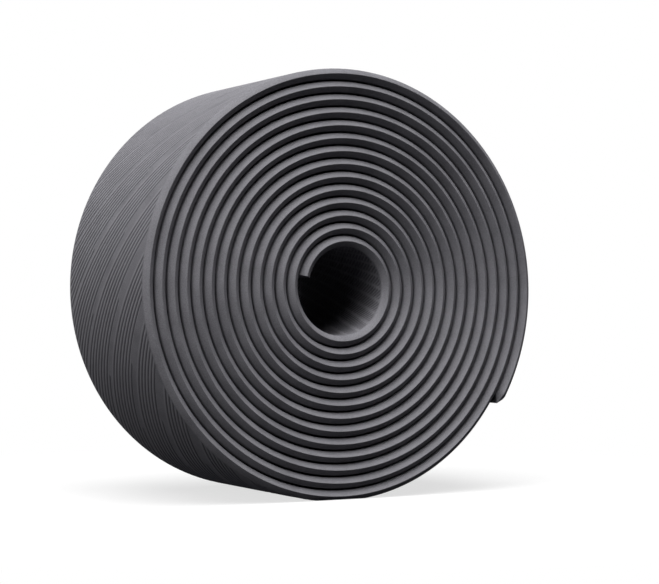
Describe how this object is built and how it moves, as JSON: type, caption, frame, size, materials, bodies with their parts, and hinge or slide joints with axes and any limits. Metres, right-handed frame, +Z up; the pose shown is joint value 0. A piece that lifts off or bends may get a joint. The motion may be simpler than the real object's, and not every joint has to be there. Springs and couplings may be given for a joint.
{
  "type": "handlebar tape roll",
  "caption": "Soft grooved handlebar tape with bevelled edges, wound on itself into an open spiral roll with a clear bore, standing on its rim.",
  "frame": {"origin": "middle of the roll's foot: the centre of its bounding box at floor height, on the plane of the flat spot it stands on", "axes": "+Y along the roll's axis from the front face to the back face, +Z up from the flat spot, +X to the right seen from the front"},
  "size_m": [0.0686, 0.032, 0.0673],
  "materials": {
    "tape_foam": "satin charcoal grey polyurethane foam tape with fine moulded diagonal grooves"
  },
  "bodies": {
    "root": {"tape_roll": "tape_foam"}
  },
  "joints": []
}
